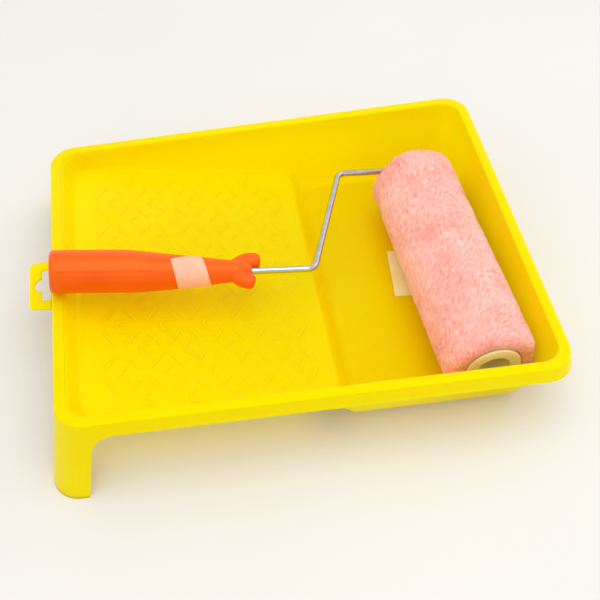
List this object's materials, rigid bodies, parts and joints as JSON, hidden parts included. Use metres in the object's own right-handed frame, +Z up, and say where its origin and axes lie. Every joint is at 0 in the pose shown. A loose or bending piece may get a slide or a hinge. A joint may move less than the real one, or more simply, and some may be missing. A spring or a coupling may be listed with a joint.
{
  "type": "paint roller tray",
  "caption": "Moulded plastic paint tray with a sloping ramp, a deep well and corner legs, and a fleece roller on a bent wire frame lying in it.",
  "frame": {"origin": "on the surface the tray stands on, under the middle of the set's bounding box", "axes": "+X from the shallow end with the hanging tab to the deep well, +Y to the back side, +Z up"},
  "size_m": [0.3698, 0.3042, 0.094],
  "materials": {
    "tray_plastic": "smooth moulded polypropylene, slightly translucent",
    "label_paper": "plain matt sticker",
    "grip_plastic": "smooth moulded plastic with a fine dotted band",
    "tape_paper": "matt paper tape",
    "plated_steel": "bright zinc-plated wire",
    "core_plastic": "off-white moulded plastic",
    "fleece": "medium-pile woven fleece"
  },
  "bodies": {
    "tray": {"tray_shell": "tray_plastic", "floor_label": "label_paper"},
    "frame": {"wire_frame": "plated_steel", "handle_grip": "grip_plastic", "handle_label": "tape_paper", "stop_collar": "plated_steel", "axle_push_nut": "plated_steel"},
    "sleeve": {"core_tube": "core_plastic", "outer_end_plug": "core_plastic", "inner_end_plug": "core_plastic", "fleece_cover": "fleece"}
  },
  "joints": [
    {"name": "roller_lift", "type": "slide", "parent": "tray", "child": "frame", "axis": [0, 0, 1], "range_m": [0, 0.12]},
    {"name": "roller_spin", "type": "hinge", "parent": "frame", "child": "sleeve", "pos_m": [0.12815, -0.0205, 0.0374], "axis": [-0.0532, 0.9986, 0], "continuous": true}
  ]
}
